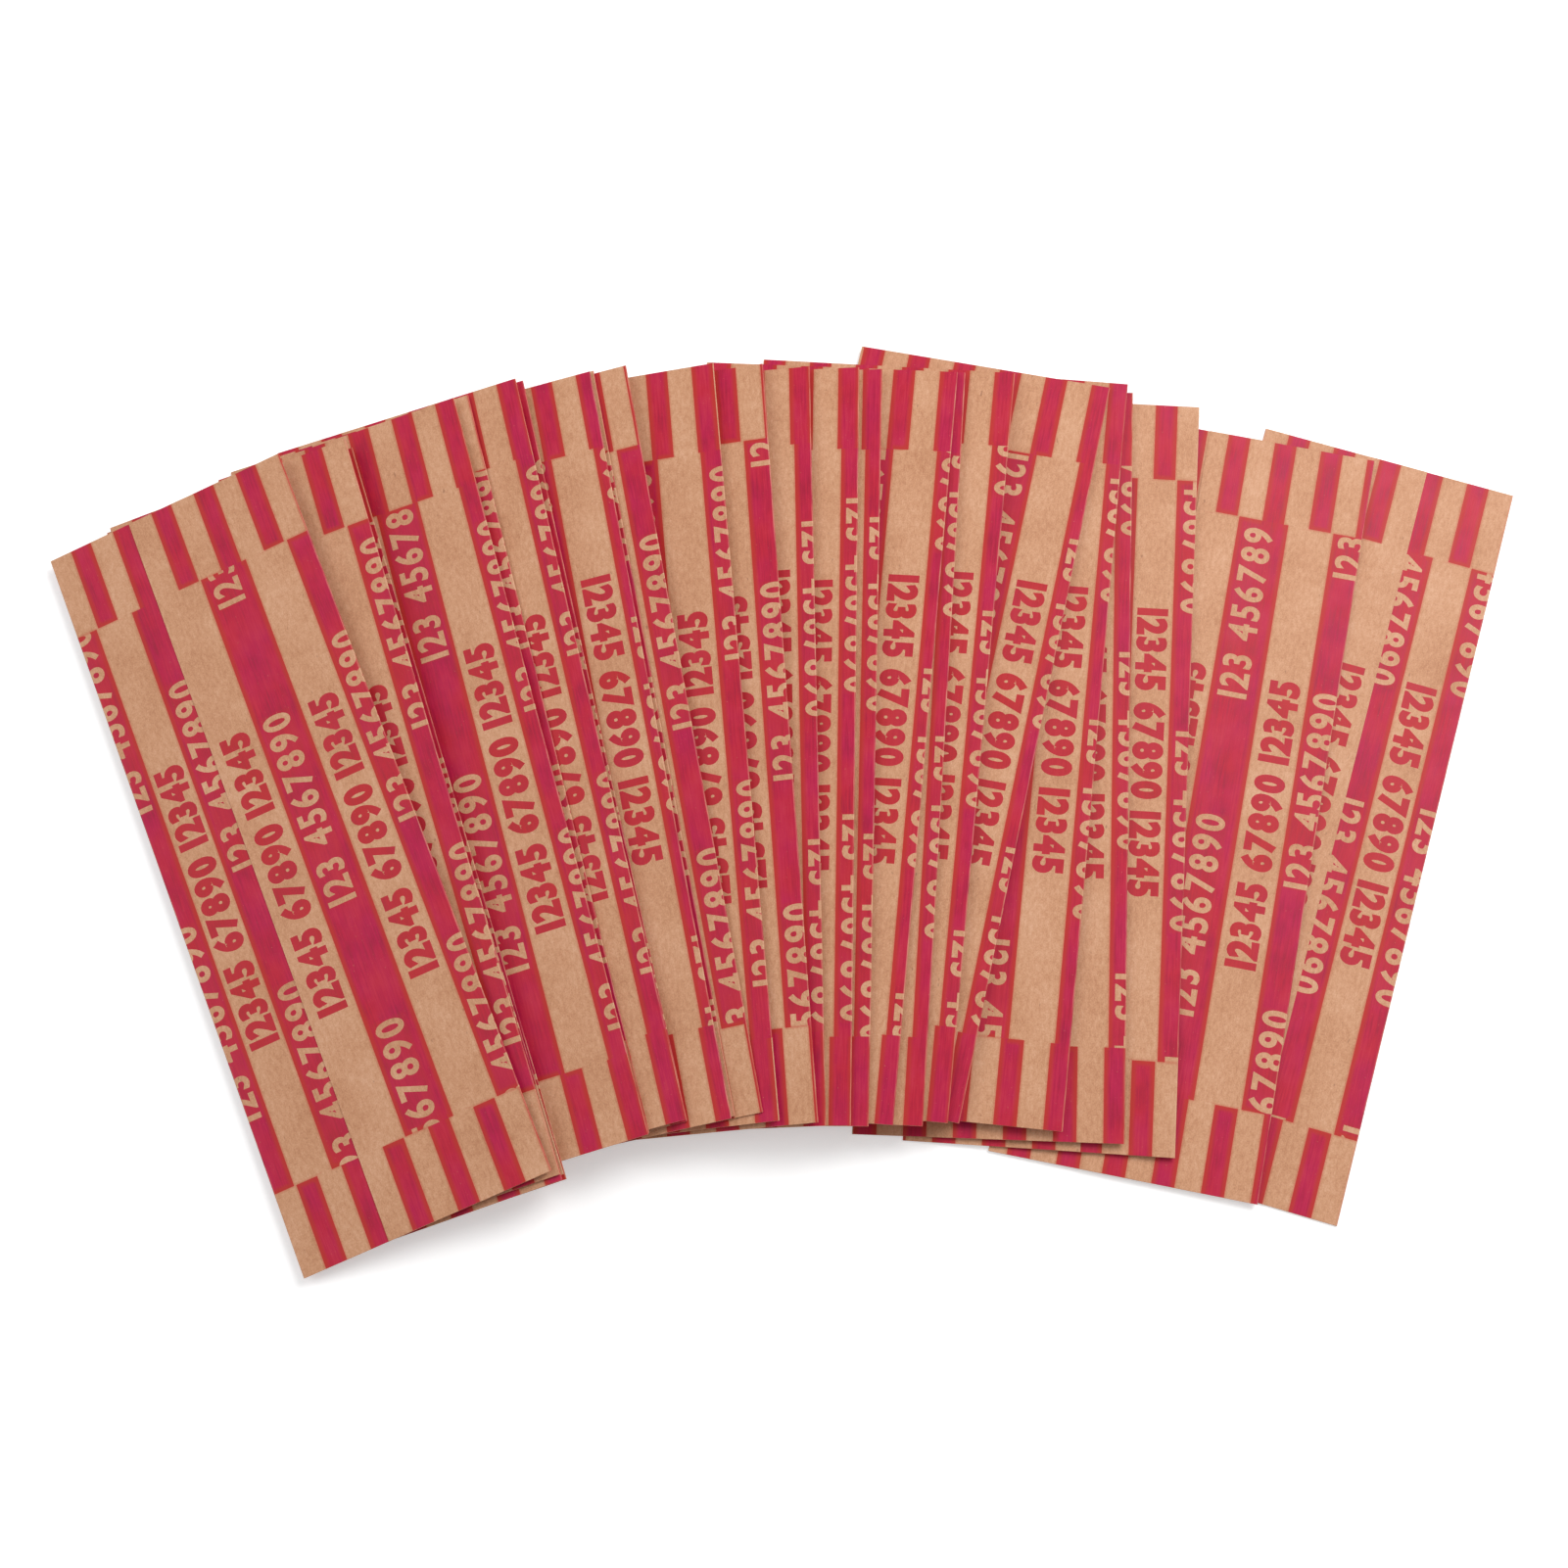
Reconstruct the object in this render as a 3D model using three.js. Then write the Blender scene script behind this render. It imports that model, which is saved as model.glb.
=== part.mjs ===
// A fan of flat paper coin wrappers, loose on a table.
// Each wrapper is one sheet of kraft paper, lapped and glued into a tube and pressed flat.
// Millimetres, +Z up, the table at z = 0. The fan opens towards +Y.
import * as THREE from 'three';

// The coin that the wrappers are made for, and the number of coins in one roll.
const COIN_DIAMETER = 19.05;
const COIN_THICKNESS = 1.52;
const COINS_IN_ROLL = 50;

// What the tube adds to the bare roll: slack round the coin, and paper to fold over each end.
const SLACK_ROUND_COIN = 2.15;
const END_FOLD = 8;

// The paper, the air left between the two pressed faces, and the glued lap on one face.
const PAPER = 0.07;
const AIR_BETWEEN_FACES = 0.03;
const LAP_WIDTH = 6;
const LAP_EDGE_FROM_FOLD = 10.75;
const LAP_RAMP = 2;
const FOLD_SEGMENTS = 2;

// The pile: the side-to-side distance between the middles of its outermost wrappers, and the gap
// kept between one wrapper and the next.
const FAN_SPREAD = 118;
const PILE_GAP = 0.04;

// The sideways lean of a wrapper in degrees: at most this, and at most so much more than the one under it.
const STEEPEST_LEAN = 12;
const LEAN_GAIN = 1;

// How far past its own length a wrapper can be drawn out along itself without touching another.
const DRAW_PAST_END = 8;

// The look of the bare paper.
const KRAFT = 0xcc9475;
const PAPER_ROUGHNESS = 0.9;

// Where each wrapper lies, from the top of the pile at the left to the bottom at the right.
// along and out place its middle, to the right and towards the wide side, as shares of the fan's spread.
// turn is in degrees, anticlockwise from above.
// seamUp wrappers show the face with the glued lap. endForEnd ones lie the other way round.
// drawnDown ones come out of the pile towards the fan's narrow side, the others towards its wide side.
const LAYOUT = [
  { along: -0.484, out: -0.081, turn: 22, seamUp: true, endForEnd: false, drawnDown: false },
  { along: -0.451, out: -0.064, turn: 17.5, seamUp: true, endForEnd: false, drawnDown: true },
  { along: -0.452, out: -0.071, turn: 18, seamUp: false, endForEnd: true, drawnDown: false },
  { along: -0.452, out: -0.065, turn: 18, seamUp: true, endForEnd: true, drawnDown: false },
  { along: -0.447, out: -0.067, turn: 17.5, seamUp: false, endForEnd: false, drawnDown: false },
  { along: -0.356, out: -0.018, turn: 15.5, seamUp: false, endForEnd: false, drawnDown: false },
  { along: -0.35, out: -0.012, turn: 14.5, seamUp: true, endForEnd: false, drawnDown: false },
  { along: -0.308, out: 0.004, turn: 13.5, seamUp: false, endForEnd: false, drawnDown: false },
  { along: -0.305, out: 0.005, turn: 13, seamUp: false, endForEnd: true, drawnDown: false },
  { along: -0.25, out: 0.014, turn: 11, seamUp: false, endForEnd: true, drawnDown: false },
  { along: -0.247, out: 0.017, turn: 11, seamUp: true, endForEnd: false, drawnDown: false },
  { along: -0.217, out: 0.022, turn: 10.5, seamUp: true, endForEnd: false, drawnDown: false },
  { along: -0.166, out: 0.031, turn: 5, seamUp: false, endForEnd: false, drawnDown: false },
  { along: -0.123, out: 0.032, turn: 4, seamUp: true, endForEnd: false, drawnDown: false },
  { along: -0.096, out: 0.037, turn: 1, seamUp: false, endForEnd: true, drawnDown: false },
  { along: -0.059, out: 0.042, turn: -1, seamUp: false, endForEnd: true, drawnDown: false },
  { along: -0.039, out: 0.043, turn: -1.5, seamUp: false, endForEnd: true, drawnDown: false },
  { along: 0.012, out: 0.052, turn: -5.5, seamUp: false, endForEnd: true, drawnDown: false },
  { along: 0.03, out: 0.049, turn: -4, seamUp: false, endForEnd: true, drawnDown: false },
  { along: 0.068, out: 0.056, turn: -6, seamUp: false, endForEnd: true, drawnDown: false },
  { along: 0.125, out: 0.064, turn: -12.5, seamUp: false, endForEnd: true, drawnDown: true },
  { along: 0.182, out: 0.05, turn: -6.5, seamUp: false, endForEnd: true, drawnDown: true },
  { along: 0.214, out: 0.032, turn: -2.5, seamUp: false, endForEnd: true, drawnDown: false },
  { along: 0.273, out: 0.022, turn: -4, seamUp: true, endForEnd: true, drawnDown: false },
  { along: 0.404, out: -0.012, turn: -11.5, seamUp: true, endForEnd: false, drawnDown: false },
  { along: 0.516, out: -0.029, turn: -16.5, seamUp: true, endForEnd: true, drawnDown: false },
];

// Sizes that follow from the ones above.
const FLAT_WIDTH = (Math.PI * COIN_DIAMETER + SLACK_ROUND_COIN) / 2;
const FLAT_LENGTH = COIN_THICKNESS * COINS_IN_ROLL + 2 * END_FOLD;
const TUBE_DEPTH = 2 * PAPER + AIR_BETWEEN_FACES;
const DEPTH_AT_LAP = TUBE_DEPTH + PAPER;
const DRAW_OUT = FLAT_LENGTH + DRAW_PAST_END;

// The tube's outer outline across its width: round folds, and a step up onto the lap.
function outerOutline() {
  const half = FLAT_WIDTH / 2;
  const fold = TUBE_DEPTH / 2;
  const lapEdge = -half + LAP_EDGE_FROM_FOLD;
  const lapEnd = lapEdge + LAP_WIDTH;
  const outline = new THREE.Shape();
  outline.moveTo(-half + fold, 0);
  outline.lineTo(half - fold, 0);
  outline.absarc(half - fold, fold, fold, -Math.PI / 2, Math.PI / 2, false);
  outline.lineTo(lapEnd + LAP_RAMP, TUBE_DEPTH);
  outline.lineTo(lapEnd, DEPTH_AT_LAP);
  outline.lineTo(lapEdge, DEPTH_AT_LAP);
  outline.lineTo(lapEdge, TUBE_DEPTH);
  outline.absarc(-half + fold, fold, fold, Math.PI / 2, 1.5 * Math.PI, false);
  return outline;
}

// The slit between the two faces, open at both ends of the tube.
function slitOutline() {
  const end = FLAT_WIDTH / 2 - TUBE_DEPTH / 2;
  const round = AIR_BETWEEN_FACES / 2;
  const slit = new THREE.Path();
  slit.moveTo(-end, PAPER);
  slit.absarc(-end, PAPER + round, round, 1.5 * Math.PI, Math.PI / 2, true);
  slit.lineTo(end, PAPER + AIR_BETWEEN_FACES);
  slit.absarc(end, PAPER + round, round, Math.PI / 2, -Math.PI / 2, true);
  return slit;
}

// One flat tube, its middle over the origin and its lower face at z = 0, lap side up.
function tubeGeometry() {
  const outline = outerOutline();
  outline.holes.push(slitOutline());
  const options = { depth: FLAT_LENGTH, bevelEnabled: false, curveSegments: FOLD_SEGMENTS };
  const tube = new THREE.ExtrudeGeometry(outline, options);
  tube.rotateX(Math.PI / 2);
  tube.translate(0, FLAT_LENGTH / 2, 0);
  return tube;
}

function turnOf(place) {
  return THREE.MathUtils.degToRad(place.turn);
}

// Distance of a table point from a wrapper's long middle line, positive to its right.
function acrossOf(place, point) {
  const turn = turnOf(place);
  return (point.x - place.x) * Math.cos(turn) + (point.y - place.y) * Math.sin(turn);
}

// The strip of table that a wrapper covers as it is drawn out along itself, anticlockwise.
function sweptStrip(place) {
  const side = FLAT_WIDTH / 2;
  const near = -FLAT_LENGTH / 2 - (place.drawnDown ? DRAW_OUT : 0);
  const far = FLAT_LENGTH / 2 + (place.drawnDown ? 0 : DRAW_OUT);
  const corners = [[-side, near], [side, near], [side, far], [-side, far]];
  const middle = new THREE.Vector2();
  return corners.map(([x, y]) => {
    const corner = new THREE.Vector2(x, y).rotateAround(middle, turnOf(place));
    return corner.add(new THREE.Vector2(place.x, place.y));
  });
}

// The part of a polygon that lies on the left of the line from one point to another.
function clipToLeft(polygon, from, to) {
  const sideOf = (point) => (to.x - from.x) * (point.y - from.y) - (to.y - from.y) * (point.x - from.x);
  const kept = [];
  polygon.forEach((point, index) => {
    const next = polygon[(index + 1) % polygon.length];
    const side = sideOf(point);
    const nextSide = sideOf(next);
    if (side >= 0) {
      kept.push(point);
    }
    if (side * nextSide < 0) {
      kept.push(point.clone().lerp(next, side / (side - nextSide)));
    }
  });
  return kept;
}

// The corners of the area that two swept strips share.
function sharedCorners(stripA, stripB) {
  return stripB.reduce((kept, from, index) => clipToLeft(kept, from, stripB[(index + 1) % 4]), stripA);
}

// The height of a laid wrapper's upper side over a table point.
function topOver(laid, point) {
  const depth = DEPTH_AT_LAP * Math.hypot(1, laid.slope);
  return laid.height + laid.slope * acrossOf(laid.place, point) + depth;
}

// A wrapper laid on the table and on those under it, leaning sideways only. Its left fold drops
// as low as the limits on its lean let it, and then it leans no more than it has to.
function layOn(place, laidBefore) {
  const strip = sweptStrip(place);
  const supports = [];
  for (const under of laidBefore) {
    for (const corner of sharedCorners(strip, sweptStrip(under.place))) {
      const fromFold = acrossOf(place, corner) + FLAT_WIDTH / 2;
      supports.push({ fromFold, height: topOver(under, corner) + PILE_GAP });
    }
  }
  const leanUnder = laidBefore.length > 0 ? Math.atan(laidBefore.at(-1).slope) : 0;
  const leanGrown = leanUnder + THREE.MathUtils.degToRad(LEAN_GAIN);
  const steepest = Math.tan(Math.min(leanGrown, THREE.MathUtils.degToRad(STEEPEST_LEAN)));
  const foldHeight = Math.max(0, ...supports.map((held) => held.height - steepest * held.fromFold));
  const offFold = supports.filter((held) => held.fromFold > 0);
  const needed = Math.max(0, ...offFold.map((held) => (held.height - foldHeight) / held.fromFold));
  const slope = Math.min(needed, steepest);
  return { place, slope, height: foldHeight + slope * FLAT_WIDTH / 2 };
}

// One wrapper in its place in the fan.
function wrapper(name, laid) {
  const { x, y, seamUp, endForEnd } = laid.place;
  const paper = new THREE.MeshStandardMaterial({ color: KRAFT, roughness: PAPER_ROUGHNESS, metalness: 0 });
  const tube = new THREE.Mesh(tubeGeometry(), paper);
  tube.name = name;
  tube.rotation.set(0, seamUp ? 0 : Math.PI, endForEnd ? Math.PI : 0);
  tube.position.z = seamUp ? 0 : DEPTH_AT_LAP;
  const lean = new THREE.Group();
  lean.rotation.y = -Math.atan(laid.slope);
  lean.add(tube);
  const spot = new THREE.Group();
  spot.position.set(x, y, laid.height);
  spot.rotation.z = turnOf(laid.place);
  spot.add(lean);
  return spot;
}

// The pile is laid from the bottom wrapper up, and named from the top one down.
const places = LAYOUT.map((row) => ({ ...row, x: row.along * FAN_SPREAD, y: row.out * FAN_SPREAD }));
const laidWrappers = [];
for (const place of places.reverse()) {
  laidWrappers.push(layOn(place, laidWrappers));
}
const fan = new THREE.Group();
laidWrappers.reverse().forEach((laid, index) => {
  fan.add(wrapper(`wrapper_${String(index + 1).padStart(2, '0')}`, laid));
});

// The origin is on the table under the middle of the fan's box.
fan.updateMatrixWorld(true);
const box = new THREE.Box3().setFromObject(fan, true);
fan.position.set(-(box.min.x + box.max.x) / 2, -(box.min.y + box.max.y) / 2, -box.min.z);

export default fan;
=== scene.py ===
import math
import random

import bpy
import numpy as np
from mathutils import Matrix, Vector
from mathutils.geometry import delaunay_2d_cdt, interpolate_bezier


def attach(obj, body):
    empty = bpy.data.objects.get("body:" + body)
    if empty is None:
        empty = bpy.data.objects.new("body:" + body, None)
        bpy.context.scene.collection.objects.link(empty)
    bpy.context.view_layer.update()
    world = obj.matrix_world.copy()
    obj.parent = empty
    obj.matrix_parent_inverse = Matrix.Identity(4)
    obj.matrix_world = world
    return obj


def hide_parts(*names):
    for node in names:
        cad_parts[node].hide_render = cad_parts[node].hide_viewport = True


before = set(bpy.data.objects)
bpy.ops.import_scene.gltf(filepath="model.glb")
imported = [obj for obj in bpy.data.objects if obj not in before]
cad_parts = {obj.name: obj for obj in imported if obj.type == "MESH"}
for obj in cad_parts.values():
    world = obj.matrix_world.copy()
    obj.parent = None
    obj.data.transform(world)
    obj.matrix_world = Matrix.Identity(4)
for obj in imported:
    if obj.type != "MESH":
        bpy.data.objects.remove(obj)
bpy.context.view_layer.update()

MM = 0.001

# The tube, as in the CAD.
PAPER = 0.07
AIR = 0.03
LAP_EDGE = 10.75
LAP_WIDTH = 6.0
LAP_RAMP = 2.0
DEPTH = 2 * PAPER + AIR
DEPTH_AT_LAP = DEPTH + PAPER
GLUE_LINE = 0.005

# The tube's outline: three points over the lap, a half circle at each fold, and the lap's hidden part.
LAP_POINTS = 3
FOLD_STEPS = 4
FOLD_STARTS = (LAP_POINTS, LAP_POINTS + FOLD_STEPS + 1)

# The print: red stripes along the body, and narrower ones in the band at each end.
BODY_RED = [(5.75, 11.75), (17.25, 22.1), (27.4, 32.7), (38.0, 43.3), (48.6, 53.8), (58.6, 70.0)]
BAND = 10.3
BAND_STRIPE = (2.85, 5.5)
BAND_PITCH = 5.69
BAND_STRIPES = 12
BAND_RED = [[side + BAND_PITCH * k for side in BAND_STRIPE] for k in range(BAND_STRIPES)]

# The orange edge of the ink: distances from a border, and how much of the border colour shows there.
FRINGE = (0.0, 0.28, 0.7)
FRINGE_SHARE = (1.0, 0.9, 0.0)
RED_DIGIT_FRINGE = 0.6
BARE_DIGIT_FRINGE = 0.3
BARE_DIGIT_MARGIN = (0.1, 0.5)

# How far the wear and the painted highlight at a fold reach on each side.
FOLD_WEAR_AND_HIGHLIGHT = 0.35

# The numbers: red ones on the bare stripes, bare ones on the red stripes.
RED_RUN = "12345 67890 12345"
RED_TALL = 3.7
RED_LONG = 35.0
RED_BOLD = 0.27
RED_FROM_BAND = 16.5
RED_SHIFT = 0.4
BARE_RUN = "123 4567890"
BARE_TALL = 3.5
BARE_LONG = 24.0
BARE_BOLD = 0.13
BARE_REPEAT = 39.0
BARE_STRIPE = 5.3
NARROW = 0.85
SPACE = 0.5

# How finely a digit is drawn, and how far its sharp corners may move out when it is made bolder.
STRAIGHT_POINTS = 2
CURVE_POINTS = 6
STRAIGHT = 1e-4
LEAST_SUM = 0.3
LEAST_OPENING = 0.6

# How near a digit comes to the sheet's ends, and the distances and areas on the sheet that count as none.
SHEET_MARGIN = 0.01
SAME_POINT = 1e-4
NO_AREA = 1e-7
ON_FOLD = 1e-3

# Each wrapper's numbers and its paper are drawn from a seed of its own.
PRINT_SEED = 1000
PAPER_SEED = 500
PAPER_SHIFT = 400

# Each wrapper from the top of the pile: whether its lapped face is up, whether it lies end for end,
# and how far its print is off the usual place round the tube and along it.
WRAPPERS = [
    (True, False, 0.2, -0.2), (True, False, 0.3, -0.3), (False, True, -0.2, 0.2), (True, True, 0.2, -0.3),
    (False, False, 0.3, 0.4), (False, False, 0.5, -0.9), (True, False, 0.2, 0.5), (False, False, 0.5, 0.2),
    (False, True, -0.2, -0.4), (False, True, -0.4, -0.5), (True, False, 0.3, -0.2), (True, False, 0.0, -0.1),
    (False, False, 0.2, -0.9), (True, False, 0.0, 0.7), (False, True, 0.3, -0.4), (False, True, 0.3, 0.2),
    (False, True, 0.1, 0.1), (False, True, -0.1, 0.1), (False, True, 0.0, 0.2), (False, True, 0.2, -0.7),
    (False, True, 0.0, 0.0), (False, True, 0.0, 0.3), (False, True, 0.2, -0.7), (True, True, 0.0, -0.6),
    (True, False, -0.5, 0.0), (True, True, 0.4, 0.3),
]


def plate_frame(node):
    """A wrapper's own axes in the row frame (right, along, up, from under its middle), and its width
    and length in millimetres."""
    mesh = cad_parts[node].data
    points = np.array([vertex.co for vertex in mesh.vertices], float)
    up = max(mesh.polygons, key=lambda face: face.area).normal.copy()
    if up.z < 0:
        up.negate()
    along = Vector(np.linalg.svd(points - points.mean(0), full_matrices=False)[2][0])
    if along.y < 0:
        along.negate()
    along = (along - along.dot(up) * up).normalized()
    right = along.cross(up)
    low = [(points @ np.array(axis)).min() for axis in (right, along, up)]
    high = [(points @ np.array(axis)).max() for axis in (right, along, up)]
    origin = right * (low[0] + high[0]) / 2 + along * (low[1] + high[1]) / 2 + up * low[2]
    place = Matrix((right, along, up)).transposed().to_4x4()
    place.translation = origin
    return place, (high[0] - low[0]) / MM, (high[1] - low[1]) / MM


def section(width):
    """The sheet's outer and inner outline across the tube, lap side up, from the lap's free edge round
    to its hidden one, after each point's place s on the sheet."""
    half = width / 2
    lap = LAP_EDGE - half
    over = lap + LAP_WIDTH
    fold = DEPTH / 2
    slit = AIR / 2
    outer = [(lap, DEPTH_AT_LAP), (over, DEPTH_AT_LAP), (over + LAP_RAMP, DEPTH)]
    inner = [(lap, DEPTH), (over, DEPTH), (over + LAP_RAMP, DEPTH - PAPER)]
    for middle, first in ((half - fold, 90), (fold - half, 270)):
        for step in range(FOLD_STEPS + 1):
            turn = math.radians(first - 180 / FOLD_STEPS * step)
            outer.append((middle + fold * math.cos(turn), fold + fold * math.sin(turn)))
            inner.append((middle + slit * math.cos(turn), fold + slit * math.sin(turn)))
    outer += [(lap, DEPTH - GLUE_LINE), (over, DEPTH - GLUE_LINE)]
    inner += [(lap, DEPTH - PAPER), (over, DEPTH - PAPER)]
    outer = np.array(outer)
    inner = np.array(inner)
    stations = np.concatenate([[0], np.cumsum(np.hypot(*np.diff(outer, axis=0).T))])
    return stations, outer, inner


def digit_outlines(character):
    """The closed outlines of one digit of the built-in font, one unit tall."""
    text = bpy.data.curves.new("digit", "FONT")
    text.body = character
    holder = bpy.data.objects.new("digit", text)
    bpy.context.scene.collection.objects.link(holder)
    splines = holder.to_curve(bpy.context.evaluated_depsgraph_get(), apply_modifiers=False).splines
    loops = []
    for spline in splines:
        points = list(spline.bezier_points)
        loop = []
        for here, there in zip(points, points[1:] + points[:1]):
            straight = (here.handle_right - here.co).cross(there.co - here.co).length < STRAIGHT
            count = STRAIGHT_POINTS if straight else CURVE_POINTS
            loop += interpolate_bezier(here.co, here.handle_right, there.handle_left, there.co, count)[:-1]
        loops.append(np.array([point[:2] for point in loop]))
    holder.to_curve_clear()
    bpy.data.objects.remove(holder)
    bpy.data.curves.remove(text)
    low = min(loop[:, 1].min() for loop in loops)
    tall = max(loop[:, 1].max() for loop in loops) - low
    left = min(loop[:, 0].min() for loop in loops)
    return [(loop - (left, low)) / tall for loop in loops]


DIGITS = {character: digit_outlines(character) for character in "0123456789"}


def thickened(loop, bold):
    """An outline moved outwards, for a bolder digit."""
    ahead = np.roll(loop, -1, axis=0) - loop
    normal = np.stack([ahead[:, 1], -ahead[:, 0]], axis=1)
    normal /= np.linalg.norm(normal, axis=1)[:, None]
    both = normal + np.roll(normal, 1, axis=0)
    both /= np.maximum(np.linalg.norm(both, axis=1)[:, None], LEAST_SUM)
    opening = np.clip((both * normal).sum(1), LEAST_OPENING, 1)[:, None]
    return loop + both * bold / opening


def character_width(character, core):
    if character == " ":
        return SPACE
    return max(loop[:, 0].max() for loop in DIGITS[character]) * core * NARROW


def run_of_digits(text, middle, start, tall, long, bold):
    """A run of digits that reads up the sheet, as a list of digits with their outlines."""
    core = tall - 2 * bold
    widths = [character_width(character, core) for character in text]
    gap = (long - sum(widths)) / (len(text) - 1)
    run = []
    at = start
    for character, width in zip(text, widths):
        if character != " ":
            loops = []
            for loop in DIGITS[character]:
                flat = thickened(loop * (core * NARROW, core) + (0, bold), bold)
                loops.append(np.stack([middle + tall / 2 - flat[:, 1], at + flat[:, 0]], axis=1))
            run.append(loops)
        at += width + gap
    return run


def inside(loop, points):
    """Which points lie in a closed outline."""
    x, y = points[:, 0], points[:, 1]
    found = np.zeros(len(points), bool)
    for (x0, y0), (x1, y1) in zip(loop, np.roll(loop, -1, axis=0)):
        if y0 != y1:
            found ^= ((y0 > y) != (y1 > y)) & (x < (x1 - x0) * (y - y0) / (y1 - y0) + x0)
    return found


def in_stripes(stripes, s):
    return np.any([(s > low) & (s < high) for low, high in stripes], axis=0)


def from_borders(stripes, s):
    """The distance to the nearest border of a stripe."""
    return np.min([abs(s - border) for stripe in stripes for border in stripe], axis=0)


class PrintedSheet:
    """One wrapper's flat sheet, cut into triangles along its folds and its print."""

    def __init__(self, index, stations, length):
        _, _, around, lengthwise = WRAPPERS[index]
        wide = stations[-1]
        self.stations = stations
        self.wide = wide
        self.length = length
        self.body = [(max(low + around, 0), min(high + around, wide)) for low, high in BODY_RED]
        self.band = [(low + around, min(high + around, wide)) for low, high in BAND_RED
                     if low + around < wide]
        self.foot = BAND + lengthwise
        self.head = length - BAND + lengthwise
        self.set_digits(around, random.Random(PRINT_SEED + index))
        self.cut()
        self.ink()
        self.fringe()
        self.find_fold_wear_and_highlight()

    def set_digits(self, around, chance):
        """Red digits on the bare stripes, and runs of bare ones, each in a zone, on the red stripes."""
        self.zones = []
        digits = []
        starts = [around] + [high for _, high in self.body[:-1]]
        for start, (high, _) in zip(starts, self.body):
            middle = (max(start, 0) + high) / 2
            at = self.foot + RED_FROM_BAND + chance.uniform(-RED_SHIFT, RED_SHIFT)
            digits += run_of_digits(RED_RUN, middle, at, RED_TALL, RED_LONG, RED_BOLD)
        for low, high in self.body:
            middle = (low + min(high, low + BARE_STRIPE)) / 2
            at = chance.uniform(-BARE_REPEAT, 0)
            while at < self.head:
                digits += run_of_digits(BARE_RUN, middle, at, BARE_TALL, BARE_LONG, BARE_BOLD)
                self.zones.append((middle - BARE_TALL / 2, at, middle + BARE_TALL / 2, at + BARE_LONG))
                at += BARE_REPEAT
        self.digits = [loops for loops in digits if all(self.holds(loop) for loop in loops)]

    def holds(self, loop):
        """Whether an outline is on the sheet, and not all in an end band."""
        low_s, low_v = loop.min(0)
        high_s, high_v = loop.max(0)
        return self.foot < high_v and low_v < self.head and 0 < low_s and high_s < self.wide

    def line(self, s0, v0, s1, v1):
        self.edges.append((len(self.points), len(self.points) + 1))
        self.points.extend([(s0, v0), (s1, v1)])

    def cut(self):
        """Cuts the sheet into triangles, which all face the same way."""
        self.points = []
        self.edges = []
        self.cut_paper()
        self.cut_stripes()
        self.cut_digits()
        points = [Vector(point) for point in self.points]
        flat, _, triangles, *_ = delaunay_2d_cdt(points, self.edges, [], 0, SAME_POINT)
        flat = np.array(flat)
        triangles = np.array(triangles)
        corners = flat[triangles]
        one, two = corners[:, 1] - corners[:, 0], corners[:, 2] - corners[:, 0]
        double = one[:, 0] * two[:, 1] - one[:, 1] * two[:, 0]
        triangles[double < 0] = triangles[double < 0][:, ::-1]
        self.flat = flat
        self.triangles = triangles[np.abs(double) > NO_AREA]
        self.centre = flat[self.triangles].mean(1)

    def cut_paper(self):
        """The sheet's edges, the tube's outline and both sides of each fold."""
        wide, length = self.wide, self.length
        self.line(0, 0, wide, 0)
        self.line(0, length, wide, length)
        self.line(0, 0, 0, length)
        self.line(wide, 0, wide, length)
        for station in self.stations[1:-1]:
            self.line(station, 0, station, length)
        for start in FOLD_STARTS:
            for fold in (self.stations[start], self.stations[start + FOLD_STEPS]):
                for side in (-FOLD_WEAR_AND_HIGHLIGHT, FOLD_WEAR_AND_HIGHLIGHT):
                    self.line(fold + side, 0, fold + side, length)

    def cut_stripes(self):
        """The ends of the bands and the borders of the stripes, with the fringe on both sides."""
        wide, length, foot, head = self.wide, self.length, self.foot, self.head
        sides = sorted({sign * far for far in FRINGE for sign in (-1, 1)})
        for v in (foot, head):
            for side in sides:
                self.line(0, v + side, wide, v + side)
        for stripes, v0, v1 in ((self.body, foot, head), (self.band, 0, foot), (self.band, head, length)):
            for border in (border for stripe in stripes for border in stripe if 0 < border < wide):
                for side in sides:
                    if 0 < border + side < wide:
                        self.line(border + side, v0, border + side, v1)

    def cut_digits(self):
        """The margins of the zones, and the digits' outlines."""
        for left, low, right, high in self.zones:
            for far in BARE_DIGIT_MARGIN:
                s0, s1 = max(left - far, 0), min(right + far, self.wide)
                v0, v1 = max(low - far, 0), min(high + far, self.length)
                if v0 < v1:
                    self.line(s0, v0, s0, v1)
                    self.line(s1, v0, s1, v1)
                    self.line(s0, v0, s1, v0)
                    self.line(s0, v1, s1, v1)
        for loop in (loop for loops in self.digits for loop in loops):
            first, count = len(self.points), len(loop)
            self.points.extend((s, min(max(v, SHEET_MARGIN), self.length - SHEET_MARGIN)) for s, v in loop)
            self.edges.extend((first + k, first + (k + 1) % count) for k in range(count))

    def ink(self):
        """Finds the triangles of the body, those in a digit, and those that are inked."""
        s, v = self.centre.T
        self.in_body = (v > self.foot) & (v < self.head)
        self.lettered = np.zeros(len(self.centre), bool)
        for loops in self.digits:
            low = np.min([loop.min(0) for loop in loops], axis=0)
            high = np.max([loop.max(0) for loop in loops], axis=0)
            near = np.nonzero(np.all((self.centre > low) & (self.centre < high), axis=1))[0]
            for loop in loops:
                self.lettered[near] ^= inside(loop, self.centre[near])
        body_ink = in_stripes(self.body, s) ^ self.lettered
        self.inked = np.where(self.in_body, body_ink, in_stripes(self.band, s))

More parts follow.
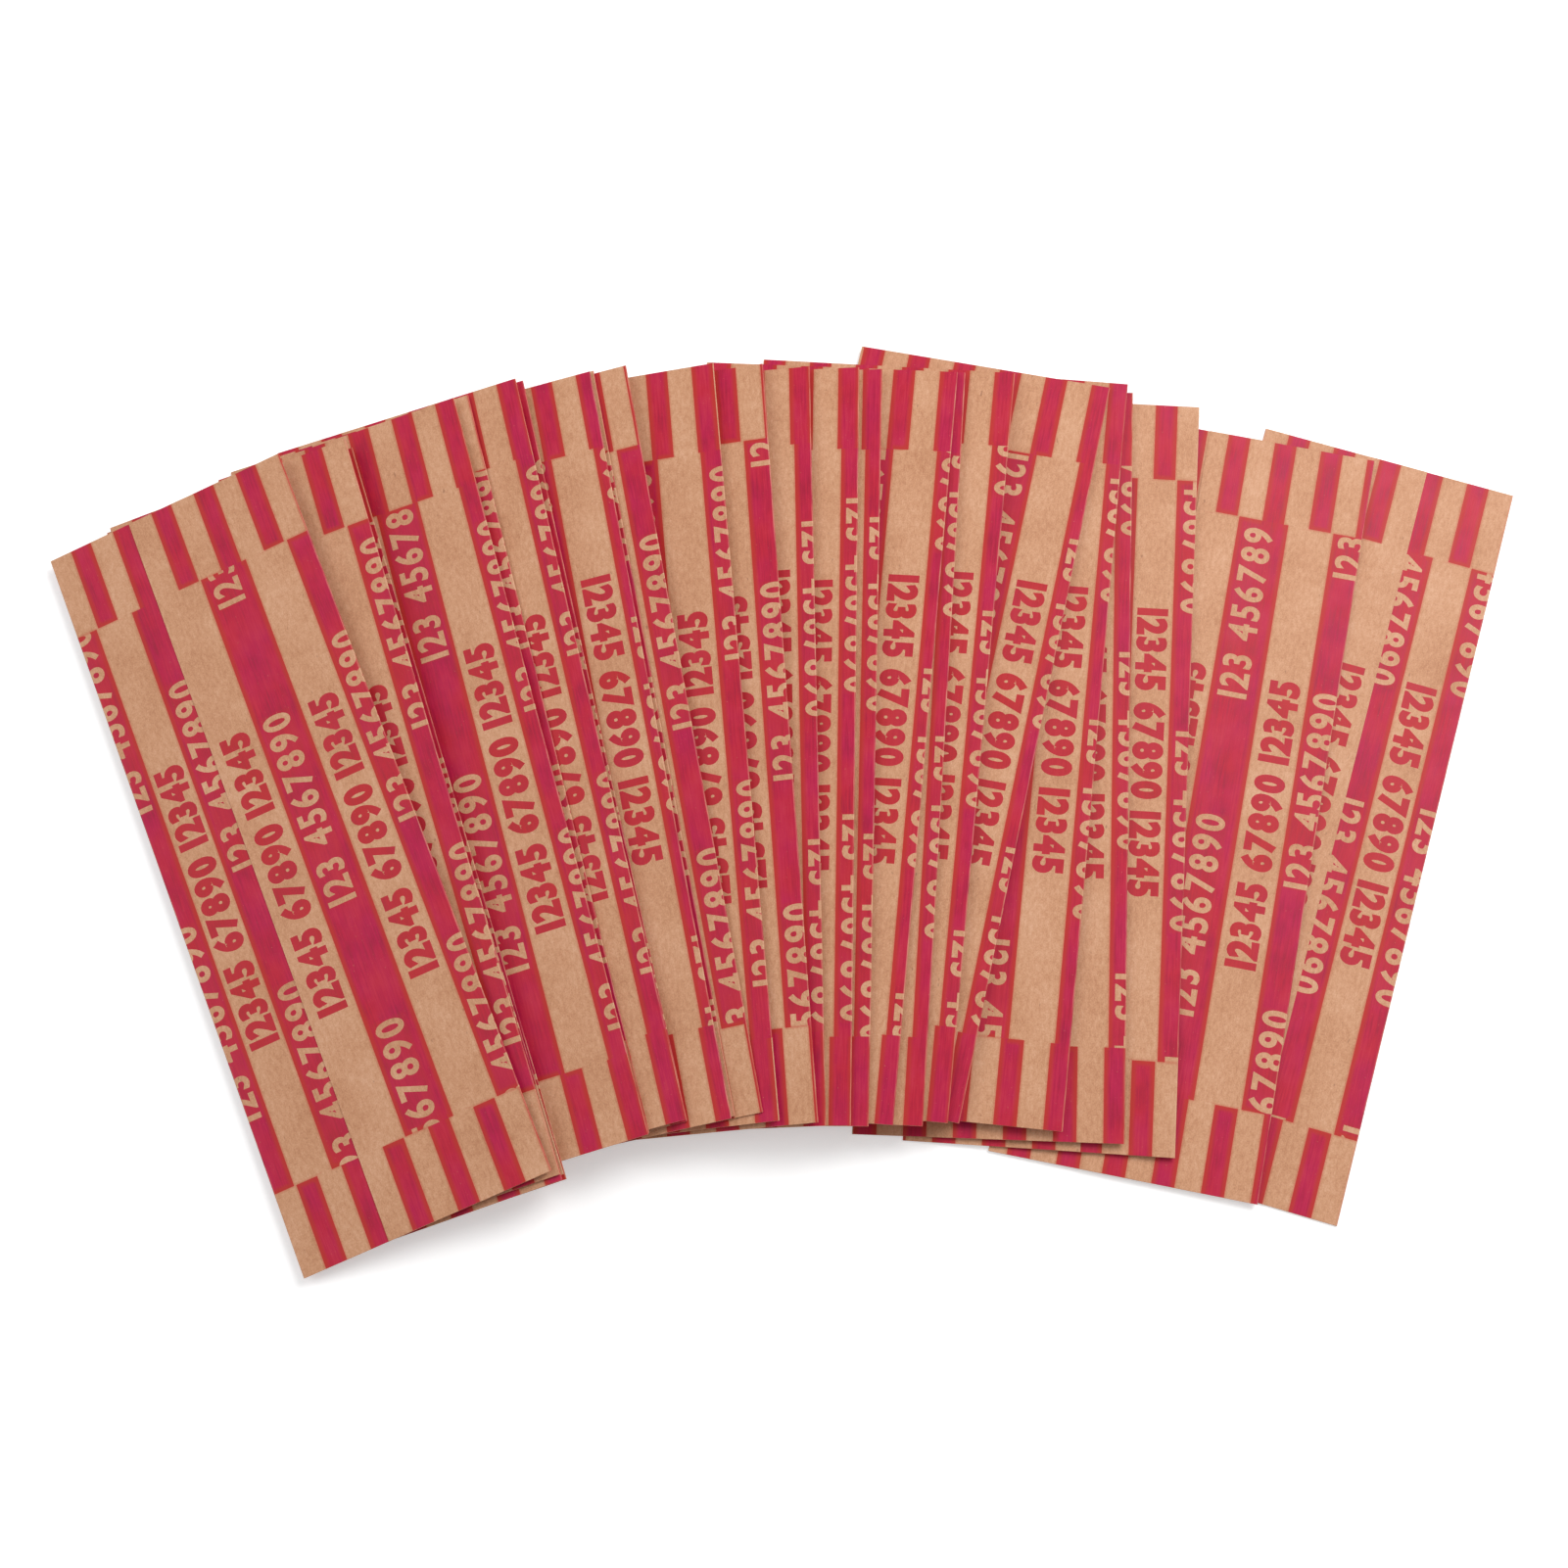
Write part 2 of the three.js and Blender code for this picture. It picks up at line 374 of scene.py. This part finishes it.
    def fringe(self):
        """Finds how much of the border colour each corner of a triangle has."""
        s, v = self.flat[self.triangles].transpose(2, 0, 1)
        middle = self.centre[:, 0]
        beside = np.where(self.in_body[:, None], from_borders(self.body, s), from_borders(self.band, s))
        rim = np.interp(beside, FRINGE, FRINGE_SHARE)
        changes = in_stripes(self.body, middle) ^ in_stripes(self.band, middle)
        across_end = np.interp(np.minimum(abs(v - self.foot), abs(v - self.head)), FRINGE, FRINGE_SHARE)
        rim = np.maximum(rim, changes[:, None] * across_end)
        red_body = self.in_body & self.inked
        for left, low, right, high in self.zones:
            outside = np.max([left - s, s - right, low - v, v - high], axis=0)
            by_digits = np.interp(outside, BARE_DIGIT_MARGIN, (BARE_DIGIT_FRINGE, 0.0))
            rim = np.maximum(rim, red_body[:, None] * by_digits)
        rim[self.lettered & red_body] = RED_DIGIT_FRINGE
        self.rim = rim

    # A fold's points carry its pale line, which is partly wear and partly a painted highlight.
    def find_fold_wear_and_highlight(self):
        """Finds the points that lie on a fold."""
        s = self.flat[:, 0]
        self.folded = np.zeros(len(s), bool)
        for start in FOLD_STARTS:
            low, high = self.stations[start], self.stations[start + FOLD_STEPS]
            self.folded |= (s > low - ON_FOLD) & (s < high + ON_FOLD)


def linear(red, green, blue):
    """A screen colour (sRGB, 0 to 255) as the shader takes it."""
    shares = [value / 255 for value in (red, green, blue)]
    return [v / 12.92 if v <= 0.04045 else ((v + 0.055) / 1.055) ** 2.4 for v in shares] + [1.0]


WHITE = (1, 1, 1, 1)
KRAFT = linear(207, 152, 115)
KRAFT_PALE = linear(225, 176, 143)
KRAFT_DEEP = linear(185, 127, 91)
SPECK = linear(146, 98, 70)
RED_COOL = linear(187, 16, 72)
RED_WARM = linear(192, 24, 54)
RED_DEEP = linear(154, 6, 50)
RED_THIN = linear(206, 54, 76)
BORDER = linear(188, 48, 32)

# Patterns on the sheet: features per millimetre round the tube and along it, detail, and roughness.
CLOUD = (0.16, 0.12, 4.0, 0.55)
FIBRE = (2.6, 1.1, 4.0, 0.6)
GRAIN = (7.0, 5.0, 2.0, 0.55)
SPECKS = (1.5, 0.6, 2.0, 0.7)
STREAK = (4.5, 0.22, 3.0, 0.6)
PATCH = (0.3, 0.2, 4.0, 0.55)
HUE = (0.2, 0.12, 3.0, 0.55)
PINHOLES = (5.0, 3.0, 3.0, 0.65)

# How the patterns are added up, as shares.
PAPER_CLOUD, PAPER_FIBRE, PAPER_GRAIN = 0.3, 0.35, 0.35
RELIEF_FIBRE, RELIEF_GRAIN = 0.6, 0.4
INK_STREAK, INK_PATCH = 0.5, 0.5

# The range of a pattern over which a colour comes or goes, and its share at each end if that isn't 0 to 1.
DEEP_IN_PAPER = (0.36, 0.5)
PALE_IN_PAPER = (0.5, 0.66)
SPECKS_IN_PAPER = (0.69, 0.76, 0.0, 0.6)
BORDER_IN_PAPER = (0.9, 1.0, 0.0, 0.4)
WARM_IN_INK = (0.36, 0.64)
DEEP_IN_INK = (0.34, 0.5, 0.75, 0.0)
THIN_IN_INK = (0.5, 0.68, 0.0, 0.6)
PINHOLES_IN_INK = (0.66, 0.76, 0.0, 0.5)
# The fold's pale line in the ink, which is wear and a painted highlight.
FOLD_WEAR_AND_HIGHLIGHT_IN_INK = (0.4, 0.65, 0.05, 0.5)
BORDER_SHARE_IN_INK = 0.85
# The share of the fold's pale line on bare paper, which is wear and a painted highlight.
FOLD_SHARE_IN_PAPER = 0.35

# The finish: the range of a pattern and the roughness at its ends, the bump's strength and depth, the gloss.
PAPER_ROUGH = (0.3, 0.7, 0.5, 0.66)
PAPER_BUMP = (0.35, 0.04 * MM)
PAPER_GLOSS = 0.35
INK_ROUGH = (0.3, 0.7, 0.44, 0.58)
INK_BUMP = (0.25, 0.03 * MM)
INK_GLOSS = 0.3


class Nodes:
    """Short ways to add and join a material's nodes."""

    def __init__(self, name):
        self.material = bpy.data.materials.new(name)
        self.material.use_nodes = True
        self.tree = self.material.node_tree
        self.shader = self.tree.nodes["Principled BSDF"]

    def put(self, socket, value):
        if isinstance(value, bpy.types.NodeSocket):
            self.tree.links.new(value, socket)
        else:
            socket.default_value = value

    def add(self, kind, values=(), **settings):
        node = self.tree.nodes.new(kind)
        for name, value in settings.items():
            setattr(node, name, value)
        for name, value in dict(values).items():
            self.put(node.inputs[name], value)
        return node

    def noise(self, pattern):
        """A noise pattern in the sheet's own millimetres."""
        around, along, detail, rough = pattern
        uv = self.add("ShaderNodeUVMap", uv_map="sheet").outputs["UV"]
        scaled = {0: uv, 1: (around, along, 1.0)}
        where = self.add("ShaderNodeVectorMath", scaled, operation="MULTIPLY").outputs[0]
        values = {"Vector": where, "Scale": 1.0, "Detail": detail, "Roughness": rough}
        return self.add("ShaderNodeTexNoise", values).outputs["Fac"]

    def attribute(self, name):
        return self.add("ShaderNodeAttribute", attribute_name=name).outputs["Fac"]

    def spread(self, value, low, high, to_low=0.0, to_high=1.0):
        values = {"Value": value, "From Min": low, "From Max": high, "To Min": to_low, "To Max": to_high}
        return self.add("ShaderNodeMapRange", values).outputs[0]

    def maths(self, operation, one, two):
        return self.add("ShaderNodeMath", {0: one, 1: two}, operation=operation).outputs[0]

    def sum_of(self, *parts):
        """The sum of some values, each times its share."""
        terms = [self.maths("MULTIPLY", value, share) for value, share in parts]
        total = terms[0]
        for term in terms[1:]:
            total = self.maths("ADD", total, term)
        return total

    def mix(self, share, one, two):
        return self.add("ShaderNodeMix", {0: share, 6: one, 7: two}, data_type="RGBA").outputs[2]

    def bump(self, height, strength, distance):
        values = {"Height": height, "Strength": strength, "Distance": distance}
        return self.add("ShaderNodeBump", values).outputs["Normal"]

    def surface(self, colour, roughness, normal, gloss):
        """The finished material."""
        self.put(self.shader.inputs["Base Color"], colour)
        self.put(self.shader.inputs["Roughness"], roughness)
        self.put(self.shader.inputs["Normal"], normal)
        self.put(self.shader.inputs["Specular IOR Level"], gloss)
        return self.material


def kraft_paper(nodes):
    """Kraft paper, cloudy, with fibres along the sheet and dark specks: its colour, grain and relief."""
    fibre = nodes.noise(FIBRE)
    grain = nodes.noise(GRAIN)
    mixed = nodes.sum_of((nodes.noise(CLOUD), PAPER_CLOUD), (fibre, PAPER_FIBRE), (grain, PAPER_GRAIN))
    colour = nodes.mix(nodes.spread(mixed, *DEEP_IN_PAPER), KRAFT_DEEP, KRAFT)
    colour = nodes.mix(nodes.spread(mixed, *PALE_IN_PAPER), colour, KRAFT_PALE)
    colour = nodes.mix(nodes.spread(nodes.noise(SPECKS), *SPECKS_IN_PAPER), colour, SPECK)
    return colour, grain, nodes.sum_of((fibre, RELIEF_FIBRE), (grain, RELIEF_GRAIN))


def kraft_material():
    """Bare paper, tinted at the print's borders, and paler at the folds with wear and a painted highlight.
    """
    nodes = Nodes("kraft_paper")
    colour, grain, relief = kraft_paper(nodes)
    colour = nodes.mix(nodes.spread(nodes.attribute("rim"), *BORDER_IN_PAPER), colour, BORDER)
    # Paler at the folds: wear and a painted highlight.
    pale = nodes.maths("MULTIPLY", nodes.attribute("fold"), FOLD_SHARE_IN_PAPER)
    colour = nodes.mix(pale, colour, KRAFT_PALE)
    roughness = nodes.spread(grain, *PAPER_ROUGH)
    return nodes.surface(colour, roughness, nodes.bump(relief, *PAPER_BUMP), PAPER_GLOSS)


def ink_material():
    """Red ink on paper: streaked and patchy, with pinholes, orange at its borders, and giving way to pale
    paper at the folds, as wear and a painted highlight.
    """
    nodes = Nodes("red_print")
    paper, _, relief = kraft_paper(nodes)
    streak = nodes.noise(STREAK)
    mixed = nodes.sum_of((streak, INK_STREAK), (nodes.noise(PATCH), INK_PATCH))
    red = nodes.mix(nodes.spread(nodes.noise(HUE), *WARM_IN_INK), RED_COOL, RED_WARM)
    red = nodes.mix(nodes.spread(mixed, *DEEP_IN_INK), red, RED_DEEP)
    red = nodes.mix(nodes.spread(mixed, *THIN_IN_INK), red, RED_THIN)
    red = nodes.mix(nodes.spread(nodes.noise(PINHOLES), *PINHOLES_IN_INK), red, paper)
    red = nodes.mix(nodes.maths("MULTIPLY", nodes.attribute("rim"), BORDER_SHARE_IN_INK), red, BORDER)
    # At the folds the ink gives way to pale paper: wear and a painted highlight.
    wear_and_highlight = nodes.maths("MULTIPLY", nodes.attribute("fold"), nodes.spread(streak, *FOLD_WEAR_AND_HIGHLIGHT_IN_INK))
    red = nodes.mix(wear_and_highlight, red, KRAFT_PALE)
    roughness = nodes.spread(streak, *INK_ROUGH)
    return nodes.surface(red, roughness, nodes.bump(relief, *INK_BUMP), INK_GLOSS)


def laid(index, across, height, v, length):
    """Points of the tube with its lap up, as they lie on the wrapper's plate, in metres."""
    lap_up, end_for_end, _, _ = WRAPPERS[index]
    along = v - length / 2
    if end_for_end:
        across, along = -across, -along
    if not lap_up:
        across, height = -across, DEPTH_AT_LAP - height
    return np.stack([across, along, height], axis=1) * MM


def folded_tube(index, sheet, outer, inner):
    """The sheet folded into its tube: the points, the same points on the flat sheet, and the faces. The
    printed outside comes first, then the outlines of the tube's foot and head, outside and inside."""
    stations, length, flat = sheet.stations, sheet.length, sheet.flat
    count = len(stations)
    across = np.interp(flat[:, 0], stations, outer[:, 0])
    height = np.interp(flat[:, 0], stations, outer[:, 1])
    points = [laid(index, across, height, flat[:, 1], length)]
    on_sheet = [flat]
    for outline in (outer, inner):
        for v in (0.0, length):
            end = np.full(count, v)
            points.append(laid(index, outline[:, 0], outline[:, 1], end, length))
            on_sheet.append(np.stack([stations, end], axis=1))
    outer_foot, outer_head, inner_foot, inner_head = (len(flat) + count * k for k in range(4))
    faces = [tuple(face) for face in sheet.triangles]
    for k in range(count - 1):
        faces.append((inner_foot + k, inner_head + k, inner_head + k + 1, inner_foot + k + 1))
        faces.append((outer_foot + k, inner_foot + k, inner_foot + k + 1, outer_foot + k + 1))
        faces.append((outer_head + k, outer_head + k + 1, inner_head + k + 1, inner_head + k))
    for k in (0, count - 1):
        edge = (outer_foot + k, outer_head + k, inner_head + k, inner_foot + k)
        faces.append(edge if k == 0 else edge[::-1])
    return np.concatenate(points), np.concatenate(on_sheet), faces


def filled(values, count, kind):
    """Values with zeros after them, for the faces, corners or points that have no print."""
    result = np.zeros(count, kind)
    result[:len(values)] = values
    return result


def paper_mesh(index, sheet, outer, inner, materials):
    """A wrapper's mesh, with its inked faces in the second material, and its own stretch of the patterns."""
    points, on_sheet, faces = folded_tube(index, sheet, outer, inner)
    mesh = bpy.data.meshes.new(f"paper_{index + 1:02d}")
    mesh.from_pydata(points.tolist(), [], faces)
    for material in materials:
        mesh.materials.append(material)
    mesh.polygons.foreach_set("material_index", filled(sheet.inked, len(faces), np.int32))
    for name, domain, values in (("rim", "CORNER", sheet.rim.ravel()), ("fold", "POINT", sheet.folded)):
        layer = mesh.attributes.new(name, "FLOAT", domain)
        layer.data.foreach_set("value", filled(values, len(layer.data), np.float32))
    chance = random.Random(PAPER_SEED + index)
    shift = np.array([chance.uniform(0, PAPER_SHIFT), chance.uniform(0, PAPER_SHIFT)])
    corners = np.zeros(len(mesh.loops), np.int32)
    mesh.loops.foreach_get("vertex_index", corners)
    layer = mesh.uv_layers.new(name="sheet")
    layer.data.foreach_set("uv", (on_sheet + shift)[corners].astype(np.float32).ravel())
    mesh.validate()
    return mesh


def wrapper(index, materials):
    """One wrapper as its printed sheet, folded into the flat tube in the place of its CAD node."""
    node = f"wrapper_{index + 1:02d}"
    place, width, length = plate_frame(node)
    stations, outer, inner = section(width)
    sheet = PrintedSheet(index, stations, length)
    mesh = paper_mesh(index, sheet, outer, inner, materials)
    piece = bpy.data.objects.new(f"paper_{index + 1:02d}", mesh)
    bpy.context.scene.collection.objects.link(piece)
    piece.matrix_world = place
    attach(piece, node)
    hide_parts(node)


PAPERS = [kraft_material(), ink_material()]
for number in range(len(WRAPPERS)):
    wrapper(number, PAPERS)

# The table, in metres, just under the fan.
TABLE_HALF = 12.0
TABLE_TOP = -0.00005
TABLE_GREY = (0.9, 0.9, 0.9, 1)
TABLE_ROUGH = 0.9
TABLE_GLOW = 0.35


def table_material():
    """A pale table, white to the camera where nothing shades it."""
    nodes = Nodes("pale_table")
    nodes.shader.inputs["Base Color"].default_value = TABLE_GREY
    nodes.shader.inputs["Roughness"].default_value = TABLE_ROUGH
    rays = nodes.add("ShaderNodeLightPath").outputs
    seen = nodes.maths("MAXIMUM", rays["Is Camera Ray"], rays["Is Glossy Ray"])
    seen = nodes.maths("MAXIMUM", seen, rays["Is Transmission Ray"])
    nodes.shader.inputs["Emission Color"].default_value = WHITE
    nodes.put(nodes.shader.inputs["Emission Strength"], nodes.maths("MULTIPLY", seen, TABLE_GLOW))
    return nodes.material


def floor():
    """The table that the fan lies on."""
    signs = ((-1, -1), (1, -1), (1, 1), (-1, 1))
    mesh = bpy.data.meshes.new("table")
    mesh.from_pydata([(x * TABLE_HALF, y * TABLE_HALF, TABLE_TOP) for x, y in signs], [], [(0, 1, 2, 3)])
    mesh.materials.append(table_material())
    table = bpy.data.objects.new("table", mesh)
    bpy.context.scene.collection.objects.link(table)


floor()

# Soft light: an even surround, a lamp up and to the right, and a weaker one to the left. Their places and
# sides are in metres, and their powers in watts.
SURROUND = 0.4
LAMP_SIDE = 0.3
LAMPS = {"key": ((0.24, 0.25, 0.37), 1.9), "fill": ((-0.3, 0.05, 0.35), 0.4)}

world = bpy.data.worlds.new("studio")
world.use_nodes = True
world.node_tree.nodes["Background"].inputs["Color"].default_value = WHITE
world.node_tree.nodes["Background"].inputs["Strength"].default_value = SURROUND
bpy.context.scene.world = world


def lamp(name, spot, power):
    """A square lamp that faces the fan's middle."""
    light = bpy.data.lights.new(name, "AREA")
    light.shape = "SQUARE"
    light.size = LAMP_SIDE
    light.energy = power
    holder = bpy.data.objects.new(name, light)
    holder.location = spot
    holder.visible_camera = False
    holder.rotation_euler = (-Vector(spot)).to_track_quat("-Z", "Y").to_euler()
    bpy.context.scene.collection.objects.link(holder)


for lamp_name, (lamp_spot, lamp_power) in LAMPS.items():
    lamp(lamp_name, lamp_spot, lamp_power)

# The camera looks down at the fan, tilted 15 degrees from straight down, from the narrow side.
AIM = Vector((-0.2, 1.04, 0)) * MM
AWAY = 320 * MM
TILT = math.radians(15)
NEAR = 10 * MM
SENSOR = 36
FOCAL_PIXELS = 2760
FRAME_PIXELS = 1601
camera = bpy.data.cameras.new("camera")
camera.sensor_fit = "HORIZONTAL"
camera.sensor_width = SENSOR
camera.lens = SENSOR * FOCAL_PIXELS / FRAME_PIXELS
camera.clip_start = NEAR
viewer = bpy.data.objects.new("camera", camera)
viewer.location = AIM + AWAY * Vector((0, -math.sin(TILT), math.cos(TILT)))
viewer.rotation_euler = (TILT, 0, 0)
bpy.context.scene.collection.objects.link(viewer)
bpy.context.scene.camera = viewer
bpy.context.scene.view_settings.view_transform = "Standard"

bpy.context.view_layer.update()
